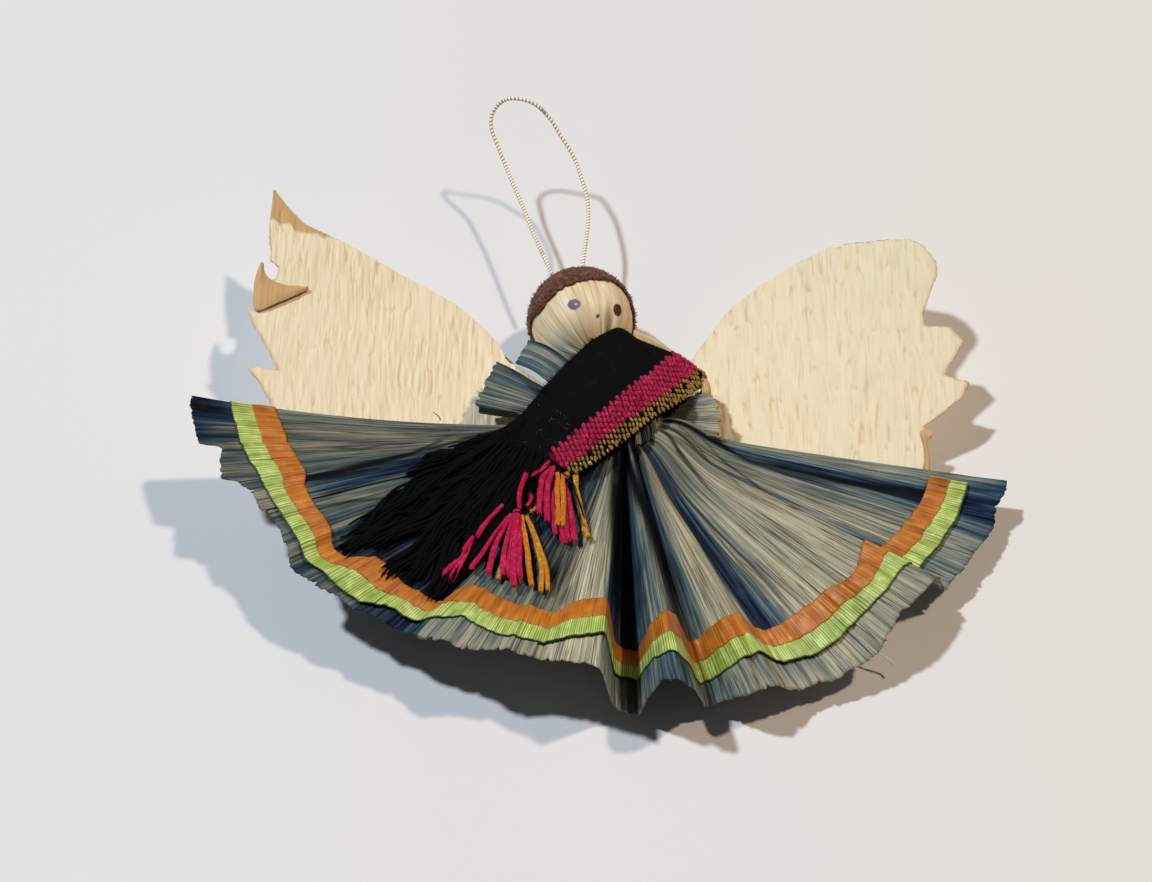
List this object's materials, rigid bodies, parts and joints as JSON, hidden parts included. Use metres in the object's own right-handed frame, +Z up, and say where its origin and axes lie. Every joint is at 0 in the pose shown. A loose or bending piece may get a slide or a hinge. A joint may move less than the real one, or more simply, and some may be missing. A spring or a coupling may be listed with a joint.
{
  "type": "corn husk angel ornament",
  "caption": "Corn husk angel doll lying flat, with a pleated dyed husk skirt, ribbon bands, crepe paper wings, a woven sash with tassels and a hanging loop.",
  "frame": {"origin": "on the surface that it lies on, under the waist, where the skirt's folds meet", "axes": "+X towards the wing on the viewer's right, +Y from the skirt towards the head, +Z up, away from the surface that it lies on"},
  "size_m": [0.1585, 0.1478, 0.027],
  "materials": {
    "foam": "white pressed foam, covered all over",
    "husk_pale": "undyed corn husk with fine fibres",
    "thread": "undyed cotton thread",
    "hair": "short brown plush pile",
    "gold_cord": "stiff cord wound with gold metallised thread",
    "husk_blue": "corn husk dyed blue, worn to grey green and tan along its fibres",
    "husk_under": "corn husk dyed dark blue",
    "sash_cloth": "handwoven black cotton with a pink and gold border",
    "yarn_black": "fine black warp yarn",
    "yarn_pink": "pink, gold and mustard cotton yarn",
    "ribbon_orange": "orange satin ribbon",
    "ribbon_lime": "lime grosgrain ribbon",
    "crepe": "cream crepe paper with fine upright crinkles"
  },
  "bodies": {
    "doll": {"head_ball": "foam", "head_husk": "husk_pale", "neck_tie": "thread", "hair_cap": "hair", "body_core": "husk_pale", "waist_tie": "thread", "bodice": "husk_blue", "arm_roll": "husk_pale", "left_sleeve": "husk_blue", "right_sleeve": "husk_blue", "collar_strip": "husk_blue", "sash": "sash_cloth", "sash_fringe": "yarn_black", "upper_tassel": "yarn_pink", "lower_tassel": "yarn_pink", "outer_tassel": "yarn_pink", "skirt_leaf_1": "husk_blue", "skirt_leaf_2": "husk_blue", "skirt_leaf_3": "husk_blue", "skirt_leaf_4": "husk_blue", "skirt_leaf_5": "husk_blue", "skirt_leaf_6": "husk_blue", "skirt_leaf_7": "husk_blue", "skirt_leaf_8": "husk_blue", "under_leaf_1": "husk_under", "under_leaf_2": "husk_under", "under_leaf_3": "husk_under", "orange_ribbon": "ribbon_orange", "lime_ribbon": "ribbon_lime", "left_wing": "crepe", "right_wing": "crepe"},
    "loop": {"hanging_loop": "gold_cord"}
  },
  "joints": [
    {"name": "loop_bend", "type": "hinge", "parent": "doll", "child": "loop", "pos_m": [-0.01104, 0.0381, 0.01534], "axis": [0.964, 0.2657, -0.0058], "range_deg": [-15, 75]}
  ]
}
